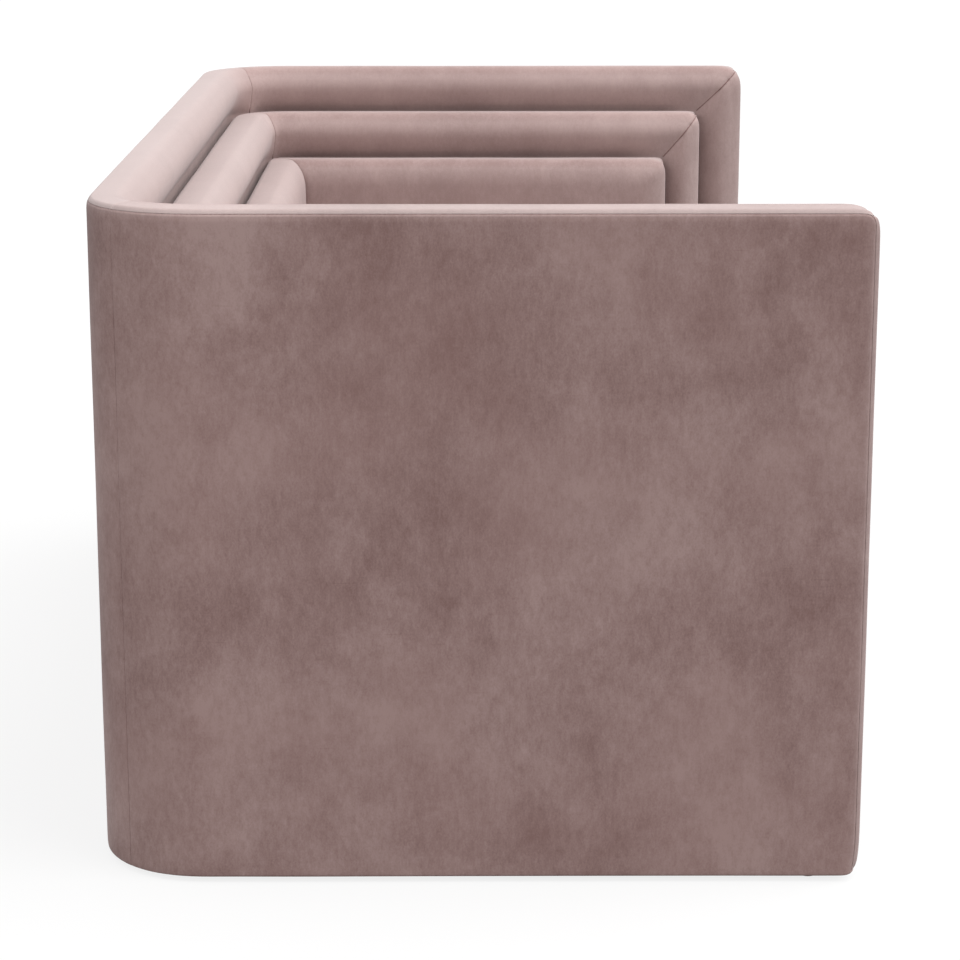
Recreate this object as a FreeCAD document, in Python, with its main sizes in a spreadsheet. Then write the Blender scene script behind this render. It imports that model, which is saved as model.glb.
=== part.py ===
"""A low two-seat sofa: three nested padded tiers around a sprung seat box with a loose cushion.

The front faces -Y, the left arm is at -X, and the origin is on the floor under the middle.
"""

import FreeCAD, Part

import math
import os
import re

import Sketcher

Vector = FreeCAD.Vector

# Driving dimensions in millimetres: alias, value, meaning.
SIZES = (
    ("overall_width", "1500", "across both arms"),
    ("overall_depth", "800", "front of the outer arms to the outside of the back"),
    ("overall_height", "708", "floor to the top of the outer tier"),
    ("glide_height", "6", "floor to the underside of the shell"),
    ("tier_thickness", "51", "one padded tier, measured across"),
    ("tier_drop", "63", "each tier's top below the tier outside it"),
    ("middle_setback", "65", "outer arm front to middle arm front"),
    ("inner_setback", "53", "middle arm front to inner arm front"),
    ("outer_corner_radius", "118", "rear corner in plan, outside of the outer tier"),
    ("middle_corner_radius", "66", "rear corner in plan, outer tier to middle tier"),
    ("inner_corner_radius", "16", "rear corner in plan, middle tier to inner tier"),
    ("seat_corner_radius", "10", "rear corner in plan, inner tier to seat"),
    ("outer_nose_radius", "36", "top front corner of the outer arm, from the side"),
    ("middle_nose_radius", "27", "top front corner of the middle arm, from the side"),
    ("inner_nose_radius", "27", "top front corner of the inner arm, from the side"),
    ("edge_radius", "8", "rounded outer edge of every tier"),
    ("outer_roll_radius", "24", "rounded inner edge of the outer tier"),
    ("middle_roll_radius", "24", "rounded inner edge of the middle tier"),
    ("inner_roll_radius", "24", "rounded inner edge of the inner tier"),
    ("cover_thickness", "2", "velvet with its backing"),
    ("frame_board", "18", "outer shell boards and corner posts"),
    ("tier_board", "12", "middle and inner tier boards"),
    ("top_foam", "18", "tier top down to the board's top edge"),
    ("front_foam", "20", "tier front back to the board's front edge"),
    ("seat_rail_top", "285", "floor to the top of the seat rails"),
    ("seat_rail_height", "120", "seat rails"),
    ("base_rail_height", "60", "base rails near the floor"),
    ("border_thickness", "25", "upholstered strip in front of the front rails"),
    ("border_edge_radius", "10", "top front edge of the border"),
    ("corner_post_width", "40", "square posts inside the seat box"),
    ("stretcher_width", "36", "board from front to rear under the seat"),
    ("screw_radius", "2.5", "frame screw shank"),
    ("screw_length", "62", "frame screw shank length"),
    ("screw_head_radius", "4.5", "frame screw head"),
    ("screw_head_height", "3", "frame screw head height"),
    ("bolt_radius", "4", "arm and back bolts"),
    ("bolt_head_radius", "7.5", "hexagon head, across its corners over two"),
    ("bolt_head_height", "5.3", "hexagon head height"),
    ("washer_radius", "10", "bolt washer"),
    ("washer_thickness", "1.6", "bolt washer thickness"),
    ("insert_radius", "6", "threaded insert in the outer boards"),
    ("insert_length", "15", "threaded insert length"),
    ("bolt_gap", "0.4", "play around a bolt"),
    ("arm_bolt_inset", "40", "seat box post to the nearest arm bolt"),
    ("back_bolt_inset", "195", "inner arm to the nearest back bolt"),
    ("glide_radius", "12.5", "floor glide"),
    ("glide_bevel", "2.5", "bevel round the bottom of a glide"),
    ("glide_inset", "52", "front glide behind the arm's front"),
    ("rear_glide_inset", "190", "rear glide in from the arm's outside"),
    ("glide_screw_radius", "2", "glide screw shank"),
    ("glide_screw_length", "26", "glide screw, head to tip"),
    ("glide_screw_head", "4", "glide screw head radius"),
    ("glide_screw_sink", "1", "glide screw head above the floor"),
    ("wire_radius", "1.9", "sinuous spring wire"),
    ("spring_width", "50", "sinuous spring across its loops"),
    ("spring_loop_pitch", "21", "bar to bar along a spring, before fitting"),
    ("spring_pitch", "125", "between springs"),
    ("clip_length", "22", "spring clip along the rail"),
    ("clip_depth", "14", "spring clip across the rail"),
    ("clip_height", "8", "spring clip height"),
    ("wire_gap", "0.3", "play around the wire in a clip"),
    ("felt_thickness", "3", "felt over the springs"),
    ("deck_thickness", "12", "foam deck under the cushion"),
    ("deck_gap", "0.4", "deck to the tiers beside it"),
    ("cushion_thickness", "125", "loose seat cushion"),
    ("cushion_side_gap", "3", "cushion to each inner arm"),
    ("cushion_rear_gap", "8", "cushion to the inner back"),
    ("cushion_overhang", "4", "cushion in front of the border"),
    ("cushion_rest_gap", "0.3", "cushion above the deck"),
    ("cushion_corner_radius", "28", "cushion corner in plan"),
    ("cushion_edge_radius", "16", "rounded top and bottom edges of the cushion"),
    ("zip_length", "900", "zip along the rear of the cushion"),
    ("zip_tape_height", "28", "zip tape"),
    ("zip_tape_thickness", "1", "zip tape thickness"),
    ("zip_teeth_height", "5", "row of zip teeth"),
    ("zip_teeth_depth", "1.5", "zip teeth proud of the tape"),
    ("zip_stop_length", "3", "stop at each end of the zip"),
    ("slider_length", "10", "zip slider along the zip"),
    ("slider_height", "9", "zip slider height"),
    ("slider_depth", "3.2", "zip slider off the tape"),
    ("slider_gap", "0.3", "play around the zip slider"),
    ("pull_length", "22", "zip pull hanging from the slider"),
    ("pull_width", "5", "zip pull width"),
    ("pull_thickness", "1.2", "zip pull thickness"),
    ("dust_cover_thickness", "1", "cloth under the seat box"),
    ("dust_cover_margin", "10", "dust cover inside the edge of the base rails"),
    ("tool_margin", "10", "how far a cutting shape reaches past what it cuts"),
)

ALIASES = {alias for alias, _, _ in SIZES}
TIERS = ("outer", "middle", "inner")
CORNERS = ("outer_corner_radius", "middle_corner_radius", "inner_corner_radius", "seat_corner_radius")
NEAR = 0.01

UP = Vector(0, 0, 1)
LEFTWARD = Vector(-1, 0, 0)
REARWARD = Vector(0, 1, 0)
FORWARD = Vector(0, -1, 0)

doc = FreeCAD.newDocument("Loveseat")
sheet = doc.addObject("Spreadsheet::Sheet", "Dimensions")
for row, (alias, value, meaning) in enumerate(SIZES, 1):
    sheet.set(f"A{row}", alias)
    sheet.set(f"B{row}", value)
    sheet.set(f"C{row}", meaning)
    sheet.setAlias(f"B{row}", alias)
doc.recompute()

nodes = []


# Helpers: expressions on the sheet, simple solids and booleans.
def bound(text):
    """The expression with each alias tied to its cell."""
    def tie(match):
        word = match.group()
        return f"Dimensions.{word}" if word in ALIASES else word
    return re.sub(r"[a-z]+(?:_[a-z]+)+", tie, text)


def number(text):
    """The expression's present value."""
    return float(sheet.evalExpression(bound(text)))


def place(piece, x, y, z):
    for letter, text in zip("xyz", (x, y, z)):
        piece.setExpression(f"Placement.Base.{letter}", bound(text))


def box(name, x, y, z):
    """A block between two expressions on each axis."""
    block = doc.addObject("Part::Box", name)
    for side, (low, high) in zip(("Length", "Width", "Height"), (x, y, z)):
        block.setExpression(side, bound(f"({high}) - ({low})"))
    place(block, x[0], y[0], z[0])
    return block


def rod(name, radius, length, start, axis=UP):
    piece = doc.addObject("Part::Cylinder", name)
    piece.Placement = FreeCAD.Placement(Vector(), FreeCAD.Rotation(UP, axis))
    piece.setExpression("Radius", bound(radius))
    piece.setExpression("Height", bound(length))
    place(piece, *start)
    return piece


def cone(name, low_radius, high_radius, height, start):
    piece = doc.addObject("Part::Cone", name)
    piece.setExpression("Radius1", bound(low_radius))
    piece.setExpression("Radius2", bound(high_radius))
    piece.setExpression("Height", bound(height))
    place(piece, *start)
    return piece


def hexagon(name, radius, height, start, axis):
    piece = doc.addObject("Part::Prism", name)
    piece.Polygon = 6
    piece.Placement = FreeCAD.Placement(Vector(), FreeCAD.Rotation(UP, axis))
    piece.setExpression("Circumradius", bound(radius))
    piece.setExpression("Height", bound(height))
    place(piece, *start)
    return piece


def fused(name, pieces):
    whole = doc.addObject("Part::MultiFuse", name)
    whole.Shapes = pieces
    return whole


def group(name, pieces):
    """Separate solids that share one node."""
    whole = doc.addObject("Part::Compound", name)
    whole.Links = pieces
    return whole


def cut(name, base, tools):
    result = doc.addObject("Part::Cut", name)
    result.Base = base
    result.Tool = tools[0] if len(tools) == 1 else fused(f"{name}_tools", tools)
    return result


def common(name, base, tool):
    result = doc.addObject("Part::Common", name)
    result.Base = base
    result.Tool = tool
    return result


def mirrored(name, source):
    """The same piece on the other side of the sofa."""
    copy = doc.addObject("Part::Mirroring", name)
    copy.Source = source
    copy.Normal = Vector(1, 0, 0)
    return copy


def keep(piece):
    """Count the piece as a node of its own."""
    nodes.append(piece)
    return piece


def keep_pair(left):
    """Keep a left piece and its mirror image."""
    keep(left)
    return keep(mirrored(left.Name.replace("left", "right"), left))


# Sketches and edge picking for the bodies.
def new_sketch(body, name, plane, offset):
    sketch = body.newObject("Sketcher::SketchObject", name)
    origin_plane = next(f for f in body.Origin.OriginFeatures if f.Role == plane)
    sketch.AttachmentSupport = [(origin_plane, "")]
    sketch.MapMode = "FlatFace"
    sketch.setExpression("AttachmentOffset.Base.z", bound(offset))
    return sketch


def dimension(sketch, name, kind, where, text):
    index = sketch.addConstraint(Sketcher.Constraint(kind, *where, number(text)))
    sketch.renameConstraint(index, name)
    sketch.setExpression(f"Constraints.{name}", bound(text))


def fillet(body, name, base, radius, wanted):
    """Round the base feature's edges that pass the test."""
    doc.recompute()
    edges = [f"Edge{i}" for i, edge in enumerate(base.Shape.Edges, 1) if wanted(edge)]
    feature = body.newObject("PartDesign::Fillet", name)
    feature.Base = (base, edges)
    feature.setExpression("Radius", bound(radius))
    return feature


def middle_of(edge):
    return edge.valueAt((edge.FirstParameter + edge.LastParameter) / 2)


def points_of(edge):
    return [edge.valueAt(edge.FirstParameter), middle_of(edge), edge.valueAt(edge.LastParameter)]


# Places that several pieces share.
HALF = "overall_width / 2"
REAR = "overall_depth / 2"
BOTTOM = "glide_height"
FRONTS = {
    "outer": "(-overall_depth / 2)",
    "middle": "(-overall_depth / 2 + middle_setback)",
    "inner": "(-overall_depth / 2 + middle_setback + inner_setback)",
}
SEAT_HALF = "(overall_width / 2 - 3 * tier_thickness)"
SEAT_REAR = "(overall_depth / 2 - 3 * tier_thickness)"
SEAT_FRONT = FRONTS["inner"]
BOX_FRONT = f"({SEAT_FRONT} + border_thickness)"
RAIL = "(tier_thickness - cover_thickness - tier_board)"
BOX_HALF = f"({SEAT_HALF} + {RAIL})"
BOX_REAR = f"({SEAT_REAR} + {RAIL})"
FRONT_RAIL_REAR = f"({BOX_FRONT} + {RAIL})"
DECK_BOTTOM = "(seat_rail_top + clip_height + felt_thickness)"
DECK_TOP = f"({DECK_BOTTOM} + deck_thickness)"


def tier_half(tier):
    return f"(overall_width / 2 - {TIERS.index(tier)} * tier_thickness)"


def tier_rear(tier):
    return f"(overall_depth / 2 - {TIERS.index(tier)} * tier_thickness)"


def tier_top(tier):
    return f"(overall_height - {TIERS.index(tier)} * tier_drop)"


# The U-shaped envelope of a tier: its plan padded upwards, then rounded.
def plan_sketch(body, name, half, rear, front, thickness, outside, inside):
    """A U open to the front, with round rear corners outside and inside."""
    sketch = new_sketch(body, name, "XY_Plane", BOTTOM)
    h, r, f, t, a, b = (number(text) for text in (half, rear, front, thickness, outside, inside))
    i, s = h - t, r - t

    def line(x0, y0, x1, y1):
        sketch.addGeometry(Part.LineSegment(Vector(x0, y0, 0), Vector(x1, y1, 0)))

    def quarter(x, y, radius, start):
        circle = Part.Circle(Vector(x, y, 0), UP, radius)
        sketch.addGeometry(Part.ArcOfCircle(circle, start, start + math.pi / 2))

    line(-h, f, -h, r - a)
    quarter(a - h, r - a, a, math.pi / 2)
    line(a - h, r, h - a, r)
    quarter(h - a, r - a, a, 0)
    line(h, r - a, h, f)
    line(h, f, i, f)
    line(i, f, i, s - b)
    quarter(i - b, s - b, b, 0)
    line(i - b, s, b - i, s)
    quarter(b - i, s - b, b, math.pi / 2)
    line(-i, s - b, -i, f)
    line(-i, f, -h, f)

    smooth_ends = ((0, 2, 1, 2), (1, 1, 2, 1), (2, 2, 3, 2), (3, 1, 4, 1),
                   (6, 2, 7, 1), (7, 2, 8, 1), (8, 2, 9, 1), (9, 2, 10, 1))
    square_ends = ((4, 2, 5, 1), (5, 2, 6, 1), (10, 2, 11, 1), (11, 2, 0, 1))
    for ends in smooth_ends:
        sketch.addConstraint(Sketcher.Constraint("Tangent", *ends))
    for ends in square_ends:
        sketch.addConstraint(Sketcher.Constraint("Coincident", *ends))
    for index in (0, 4, 6, 10):
        sketch.addConstraint(Sketcher.Constraint("Vertical", index))
    for index in (2, 5, 8, 11):
        sketch.addConstraint(Sketcher.Constraint("Horizontal", index))
    sketch.addConstraint(Sketcher.Constraint("Horizontal", 0, 1, 4, 2))
    sketch.addConstraint(Sketcher.Constraint("Equal", 1, 3))
    sketch.addConstraint(Sketcher.Constraint("Equal", 7, 9))
    dimension(sketch, "left_half", "DistanceX", (0, 1, -1, 1), half)
    dimension(sketch, "right_half", "DistanceX", (-1, 1, 4, 2), half)
    dimension(sketch, "rear", "DistanceY", (-1, 1, 2, 1), rear)
    dimension(sketch, "front", "DistanceY", (0, 1, -1, 1), f"-({front})")
    dimension(sketch, "left_arm", "DistanceX", (0, 1, 10, 2), thickness)
    dimension(sketch, "right_arm", "DistanceX", (6, 1, 4, 2), thickness)
    dimension(sketch, "back", "DistanceY", (8, 1, 2, 1), thickness)
    dimension(sketch, "outside", "Radius", (1,), outside)
    dimension(sketch, "inside", "Radius", (7,), inside)
    return sketch


def off_plan(point, half, rear, radius):
    """How far a point is, in plan, from a rear wall with rounded corners."""
    x = abs(point.x)
    if point.y < rear - radius:
        return abs(x - half)
    if x < half - radius:
        return abs(point.y - rear)
    return abs(math.hypot(x - half + radius, point.y - rear + radius) - radius)


def tier_envelope(name, tier, inset):
    """One tier as a whole, inset from its visible surface."""
    order = TIERS.index(tier)
    half = f"({tier_half(tier)} - {inset})"
    rear = f"({tier_rear(tier)} - {inset})"
    front = f"({FRONTS[tier]} + {inset})"
    thickness = f"(tier_thickness - 2 * {inset})"
    outside = f"({CORNERS[order]} - {inset})"
    inside = f"({CORNERS[order + 1]} + {inset})"
    top = f"({tier_top(tier)} - {inset})"

    body = doc.addObject("PartDesign::Body", name)
    sketch = plan_sketch(body, f"{name}_plan", half, rear, front, thickness, outside, inside)
    pad = body.newObject("PartDesign::Pad", f"{name}_pad")
    pad.Profile = sketch
    pad.setExpression("Length", bound(f"{top} - {BOTTOM}"))

    front_y, top_z, bottom_z = number(front), number(top), number(BOTTOM)

    def at_nose(edge):
        point = middle_of(edge)
        return abs(point.y - front_y) < NEAR and abs(point.z - top_z) < NEAR

    def along_wall(wall_half, wall_rear, radius):
        sizes = [number(text) for text in (wall_half, wall_rear, radius)]

        def wanted(edge):
            first, middle, last = points_of(edge)
            if any(off_plan(point, *sizes) > NEAR for point in (first, middle, last)):
                return False
            upright = math.hypot(first.x - last.x, first.y - last.y) < NEAR
            if upright:
                return abs(middle.y - front_y) < NEAR
            return middle.z > bottom_z + NEAR
        return wanted

    nose = fillet(body, f"{name}_nose", pad, f"{tier}_nose_radius - {inset}", at_nose)
    outer_wall = along_wall(half, rear, outside)
    edges = fillet(body, f"{name}_edges", nose, f"edge_radius - {inset}", outer_wall)
    inner_wall = along_wall(f"{half} - {thickness}", f"{rear} - {thickness}", inside)
    fillet(body, f"{name}_roll", edges, f"{tier}_roll_radius - {inset}", inner_wall)
    return body


# Boards inside the tiers.
def board_z(tier):
    return BOTTOM, f"{tier_top(tier)} - top_foam"


def arm_board(tier, side_offset, thickness):
    outer_face = f"-({tier_half(tier)}) + {side_offset}"
    corner = CORNERS[TIERS.index(tier)]
    return box(f"{tier}_left_board_blank",
               (outer_face, f"{outer_face} + {thickness}"),
               (f"{FRONTS[tier]} + front_foam", f"{tier_rear(tier)} - {corner}"),
               board_z(tier))


def back_board(tier, rear_offset, thickness):
    rear_face = f"{tier_rear(tier)} - {rear_offset}"
    span = f"({tier_half(tier)} - {CORNERS[TIERS.index(tier)]})"
    return box(f"{tier}_back_board_blank", (f"-{span}", span),
               (f"{rear_face} - {thickness}", rear_face), board_z(tier))


SHELL_OFFSET = "(tier_thickness - frame_board) / 2"
BOARDS = {
    "outer": (SHELL_OFFSET, "frame_board"),
    "middle": ("cover_thickness", "tier_board"),
    "inner": ("cover_thickness", "tier_board"),
}
arm_blanks = {tier: arm_board(tier, *BOARDS[tier]) for tier in TIERS}
back_blanks = {tier: back_board(tier, *BOARDS[tier]) for tier in TIERS}


def corner_post():
    """A bent post, a quarter round, between an arm board and the back board."""
    outer_radius = f"outer_corner_radius - {SHELL_OFFSET}"
    low, high = board_z("outer")
    centre = (f"-({HALF} - outer_corner_radius)", f"{REAR} - outer_corner_radius", low)
    height = f"({high}) - ({low})"
    solid = rod("corner_post_round", outer_radius, height, centre)
    solid.Angle = 90
    solid.Placement.Rotation = FreeCAD.Rotation(UP, 90)
    hollow = rod("corner_post_hollow", f"{outer_radius} - frame_board", height, centre)
    return cut("rear_left_corner_post", solid, [hollow])


left_corner_post = corner_post()
right_corner_post = keep_pair(left_corner_post)


# Seat box: rails, posts and stretcher.
SEAT_RAIL_Z = ("seat_rail_top - seat_rail_height", "seat_rail_top")
BASE_RAIL_Z = (BOTTOM, f"{BOTTOM} + base_rail_height")
RAIL_ROWS = {"seat": SEAT_RAIL_Z, "base": BASE_RAIL_Z}
SIDE_RAIL = ((f"-{BOX_HALF}", f"-{SEAT_HALF}"), (BOX_FRONT, BOX_REAR))
FRONT_RAIL = ((f"-{SEAT_HALF}", SEAT_HALF), (BOX_FRONT, FRONT_RAIL_REAR))
REAR_RAIL = ((f"-{SEAT_HALF}", SEAT_HALF), (SEAT_REAR, BOX_REAR))
POST_X = (f"-{SEAT_HALF}", f"-{SEAT_HALF} + corner_post_width")
POST_ENDS = {
    "front": (FRONT_RAIL_REAR, f"{FRONT_RAIL_REAR} + corner_post_width"),
    "rear": (f"{SEAT_REAR} - corner_post_width", SEAT_REAR),
}
box_space = box("seat_box_space", (f"-{BOX_HALF}", BOX_HALF), (BOX_FRONT, BOX_REAR),
                (BOTTOM, "seat_rail_top + clip_height"))


def screw(name, start, axis):
    """A pan-head screw driven from a post's face into a rail."""
    shank = rod(f"{name}_shank", "screw_radius", "screw_length", start, axis)
    head = rod(f"{name}_head", "screw_head_radius", "screw_head_height", start, axis.negative())
    return fused(name, [shank, head])


def post_screws(end):
    """The screws in a left post: into the side rails and the end rails at two heights."""
    low, high = POST_ENDS[end]
    inner_x = POST_X[1]
    inner_y = high if end == "front" else low
    axis = FORWARD if end == "front" else REARWARD
    third = "corner_post_width / 3"
    made = []
    for row, (bottom, top) in RAIL_ROWS.items():
        middle = f"(({bottom}) + ({top})) / 2"
        side_start = (inner_x, f"({low} + {high}) / 2", f"{middle} + {third}")
        end_start = (f"-{SEAT_HALF} + corner_post_width / 2", inner_y, f"{middle} - {third}")
        made.append(screw(f"{end}_{row}_side_screw", side_start, LEFTWARD))
        made.append(screw(f"{end}_{row}_end_screw", end_start, axis))
    return made


left_screws = fused("left_frame_screws", post_screws("front") + post_screws("rear"))
right_screws = mirrored("right_frame_screws", left_screws)
keep(group("frame_screws", [left_screws, right_screws]))

post_blanks = [box(f"{end}_left_post_blank", POST_X, POST_ENDS[end], (BOTTOM, "seat_rail_top"))
               for end in POST_ENDS]
left_posts = cut("left_posts", fused("left_post_blanks", post_blanks), [left_screws])
keep(group("seat_box_posts", [left_posts, mirrored("right_posts", left_posts)]))

STRETCHER_X = ("-stretcher_width / 2", "stretcher_width / 2")
keep(box("centre_stretcher", STRETCHER_X, (FRONT_RAIL_REAR, SEAT_REAR), BASE_RAIL_Z))


# Bolts that hold the arms and the back to the seat box.
BOLT_Z = "(seat_rail_top - seat_rail_height / 2)"
INSERT_X = f"({HALF} - {SHELL_OFFSET} - frame_board)"
INSERT_Y = f"({REAR} - {SHELL_OFFSET} - frame_board)"
ARM_BOLT_LENGTH = f"({INSERT_X} + insert_length - {SEAT_HALF} + washer_thickness)"
BACK_BOLT_LENGTH = f"({INSERT_Y} + insert_length - {SEAT_REAR} + washer_thickness)"


def bolt_set(name, x, y, axis, length, insert_start):
    """A bolt, its washer and insert, and the holes they need."""
    seat = (x, y, BOLT_Z)
    step = {"x": (-axis.x, x), "y": (-axis.y, y)}

    def back_off(distance):
        """The seat, moved away from the rail by a distance."""
        moved = [f"{at} + {int(sign)} * ({distance})" for sign, at in step.values()]
        return moved[0], moved[1], BOLT_Z

    under_head = back_off("washer_thickness")
    shank = rod(f"{name}_shank", "bolt_radius", length, under_head, axis)
    head = hexagon(f"{name}_head", "bolt_head_radius", "bolt_head_height", under_head,
                   axis.negative())
    hole = rod(f"{name}_hole", "bolt_radius + bolt_gap", length, under_head, axis)
    disc = rod(f"{name}_disc", "washer_radius", "washer_thickness", seat, axis.negative())
    sleeve = rod(f"{name}_sleeve", "insert_radius", "insert_length", insert_start, axis)
    return {
        "bolt": fused(f"{name}_bolt", [shank, head]),
        "washer": cut(f"{name}_washer", disc, [hole]),
        "insert": cut(f"{name}_insert", sleeve, [hole]),
        "holes": fused(f"{name}_holes", [hole, sleeve]),
    }


ARM_BOLTS = {
    "front": f"({POST_ENDS['front'][1]} + arm_bolt_inset)",
    "rear": f"({POST_ENDS['rear'][0]} - arm_bolt_inset)",
}
BACK_BOLT_SPREAD = f"({SEAT_HALF} - back_bolt_inset)"
BACK_BOLTS = {"left": f"-{BACK_BOLT_SPREAD}", "middle": "0", "right": BACK_BOLT_SPREAD}
arm_sets = [bolt_set(f"left_{end}", f"-{SEAT_HALF}", y, LEFTWARD, ARM_BOLT_LENGTH,
                     (f"-{INSERT_X}", y, BOLT_Z))
            for end, y in ARM_BOLTS.items()]
back_sets = [bolt_set(f"back_{side}", x, SEAT_REAR, REARWARD, BACK_BOLT_LENGTH,
                      (x, INSERT_Y, BOLT_Z))
             for side, x in BACK_BOLTS.items()]
for kind, node_name in (("bolt", "frame_bolts"), ("washer", "bolt_washers"),
                        ("insert", "threaded_inserts")):
    left = group(f"left_{kind}s", [found[kind] for found in arm_sets])
    rest = [found[kind] for found in back_sets]
    keep(group(node_name, [left, mirrored(f"right_{kind}s", left)] + rest))
left_holes = fused("left_bolt_holes", [found["holes"] for found in arm_sets])
right_holes = mirrored("right_bolt_holes", left_holes)
back_holes = fused("back_bolt_holes", [found["holes"] for found in back_sets])


def side_rail(row):
    blank = box(f"left_{row}_rail_blank", *SIDE_RAIL, RAIL_ROWS[row])
    return cut(f"left_{row}_rail", blank, [left_screws, left_holes])


def end_rail(name, plan, row, holes):
    blank = box(f"{name}_blank", *plan, RAIL_ROWS[row])
    return keep(cut(name, blank, [left_screws, right_screws] + holes))


for row in RAIL_ROWS:
    keep_pair(side_rail(row))
    end_rail(f"front_{row}_rail", FRONT_RAIL, row, [])
    end_rail(f"rear_{row}_rail", REAR_RAIL, row, [back_holes])


# Floor glides, each held by a countersunk screw in a board's lower edge.
GLIDE_PLACES = {
    "front_left": (f"-({HALF} - tier_thickness / 2)", f"{FRONTS['outer']} + glide_inset"),
    "rear_left": (f"-({HALF} - rear_glide_inset)", f"{REAR} - tier_thickness / 2"),
}


def glide_screw(name, x, y):
    head_height = "(glide_screw_head - glide_screw_radius)"
    head = cone(f"{name}_head", "glide_screw_head", "glide_screw_radius", head_height,
                (x, y, "glide_screw_sink"))
    shank = rod(f"{name}_shank", "glide_screw_radius", "glide_screw_length",
                (x, y, "glide_screw_sink"))
    return fused(name, [head, shank])


def glide(name, x, y, fixing):
    rim = rod(f"{name}_rim", "glide_radius", "glide_height - glide_bevel", (x, y, "glide_bevel"))
    sole = cone(f"{name}_sole", "glide_radius - glide_bevel", "glide_radius", "glide_bevel",
                (x, y, "0"))
    recess = rod(f"{name}_recess", "glide_screw_head", "glide_screw_sink", (x, y, "0"))
    return cut(name, fused(f"{name}_blank", [rim, sole]), [fixing, recess])


glide_screws = {}
for corner, (x, y) in GLIDE_PLACES.items():
    glide_screws[corner] = glide_screw(f"{corner}_glide_screw", x, y)
    keep_pair(glide(f"{corner}_glide", x, y, glide_screws[corner]))
left_glide_screws = group("left_glide_screws", list(glide_screws.values()))
right_glide_screws = mirrored("right_glide_screws", left_glide_screws)
keep(group("glide_screws", [left_glide_screws, right_glide_screws]))


# Boards with their holes.
for tier in TIERS:
    arm_tools = [left_holes]
    back_tools = [back_holes]
    if tier == "outer":
        arm_tools.append(glide_screws["front_left"])
        back_tools.append(glide_screws["rear_left"])
        back_tools.append(mirrored("rear_right_screw_hole", glide_screws["rear_left"]))
    keep_pair(cut(f"{tier}_left_board", arm_blanks[tier], arm_tools))
    keep(cut(f"{tier}_back_board", back_blanks[tier], back_tools))


# Foam pads, mitred at the rear corners, and the velvet cover over each tier.
def mitre_wedge():
    """The back's share of every tier, between the two mitre planes."""
    wedge = doc.addObject("Part::Wedge", "mitre_wedge")
    reach = "(3 * tier_thickness + seat_corner_radius + tool_margin)"
    for sign, low, high in (("-", "Xmin", "X2min"), ("", "Xmax", "X2max")):
        wedge.setExpression(low, bound(f"{sign}({HALF} - {reach})"))
        wedge.setExpression(high, bound(f"{sign}({HALF} + tool_margin)"))
    wedge.setExpression("Ymin", bound(f"{REAR} - {reach}"))
    wedge.setExpression("Ymax", bound(f"{REAR} + tool_margin"))
    for low, high in (("Zmin", "Zmax"), ("Z2min", "Z2max")):
        wedge.setExpression(low, "0")
        wedge.setExpression(high, bound("overall_height + tool_margin"))
    return wedge


back_share = mitre_wedge()
left_share = box("left_share", (f"-{HALF} - tool_margin", "0"),
                 (f"{FRONTS['outer']} - tool_margin", f"{REAR} + tool_margin"),
                 ("0", "overall_height + tool_margin"))
for tier in TIERS:
    surface = tier_envelope(f"{tier}_envelope", tier, "0")
    foam = tier_envelope(f"{tier}_foam_envelope", tier, "cover_thickness")
    left_tools = [back_share, arm_blanks[tier]]
    back_tools = [back_blanks[tier]]
    cover_tools = [foam]
    if tier == "outer":
        left_tools.append(left_corner_post)
        back_tools += [left_corner_post, right_corner_post]
    if tier == "inner":
        left_tools.append(box_space)
        back_tools.append(box_space)
        cover_tools.append(box_space)
    else:
        left_tools.append(left_holes)
        back_tools.append(back_holes)
    cover_tools += [left_holes, right_holes, back_holes]
    left_block = common(f"{tier}_left_block", foam, left_share)
    back_block = common(f"{tier}_back_block", foam, back_share)
    keep_pair(cut(f"{tier}_left_pad", left_block, left_tools))
    keep(cut(f"{tier}_back_pad", back_block, back_tools))
    keep(cut(f"{tier}_cover", surface, cover_tools))


# Sinuous springs: bars joined by half turns, held in clips on the seat rails.
WIRE_Z = "seat_rail_top + clip_height / 2"
CLIP_ROWS = (f"({BOX_FRONT} + {RAIL} / 2)", f"({SEAT_REAR} + {RAIL} / 2)")


def spring_places():
    """The springs' centres, as many as fit between the seat box posts."""
    half = number(f"{SEAT_HALF} - corner_post_width - spring_width / 2")
    pitch = number("spring_pitch")
    side = int(half // pitch)
    return [count * pitch for count in range(-side, side + 1)]


def spring_wire():
    """The path of one spring, centred on x = 0."""
    front, rear = (number(text) for text in CLIP_ROWS)
    loops = 2 * round((rear - front) / number("spring_loop_pitch") / 2)
    pitch = (rear - front) / loops
    reach = (number("spring_width") - pitch) / 2
    height = number(WIRE_Z)
    edges = []
    for count in range(loops + 1):
        y = front + count * pitch
        side = 1 if count % 2 == 0 else -1
        start, end = Vector(-side * reach, y, height), Vector(side * reach, y, height)
        edges.append(Part.LineSegment(start, end).toShape())
        if count < loops:
            turn = Vector(side * (reach + pitch / 2), y + pitch / 2, height)
            edges.append(Part.Arc(end, turn, Vector(side * reach, y + pitch, height)).toShape())
    return Part.Wire(edges)


def seat_springs():
    path = spring_wire()
    start = path.OrderedVertexes[0].Point
    ring = Part.Wire(Part.Circle(start, Vector(1, 0, 0), number("wire_radius")).toShape())
    wire = path.makePipeShell([ring], True, False)
    piece = doc.addObject("Part::Feature", "seat_springs")
    piece.Shape = Part.Compound([wire.translated(Vector(x, 0, 0)) for x in spring_places()])
    return piece


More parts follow.
